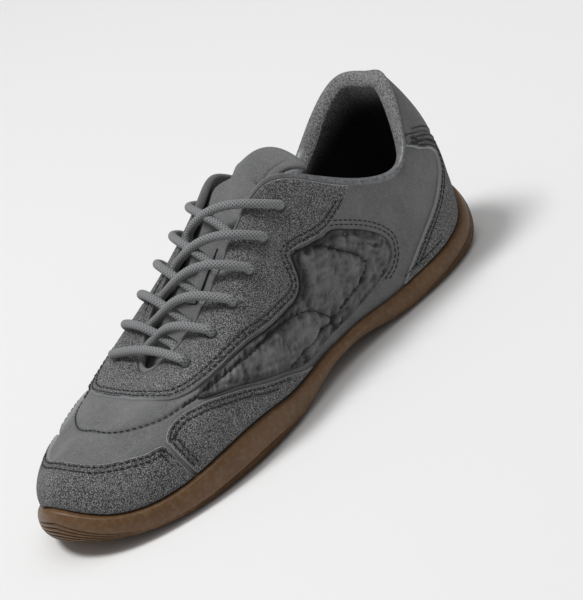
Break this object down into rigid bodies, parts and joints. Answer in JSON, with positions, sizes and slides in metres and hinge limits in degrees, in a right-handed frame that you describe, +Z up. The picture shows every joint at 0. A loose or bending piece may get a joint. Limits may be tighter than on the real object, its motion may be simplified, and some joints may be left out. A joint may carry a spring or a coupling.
{
  "type": "barefoot shoe",
  "caption": "Low lace-up barefoot shoe for the left foot, grey nubuck and suede upper over a thin gum rubber cupsole.",
  "frame": {"origin": "on the floor, under the middle of the bounding box", "axes": "+X from heel to toe, +Y to the outer side of this left shoe, +Z up"},
  "size_m": [0.2798, 0.0964, 0.0975],
  "materials": {
    "gum": "smooth gum rubber",
    "nubuck": "fine nubuck",
    "suede": "coarse suede",
    "nylon": "crinkled nylon",
    "lining": "brushed lining",
    "lace": "braided cord"
  },
  "bodies": {
    "root": {"outsole": "gum", "insole": "lining", "upper": "nubuck", "toe_cap": "suede", "wing_outer": "suede", "wing_inner": "suede", "side_panel_outer": "nylon", "side_panel_inner": "nylon", "heel_counter": "suede", "heel_tab": "nubuck", "eyestay": "suede", "tongue": "nubuck", "lace_1": "lace", "lace_2": "lace", "lace_3": "lace", "lace_4": "lace", "lace_5": "lace", "lace_bar": "lace"}
  },
  "joints": []
}
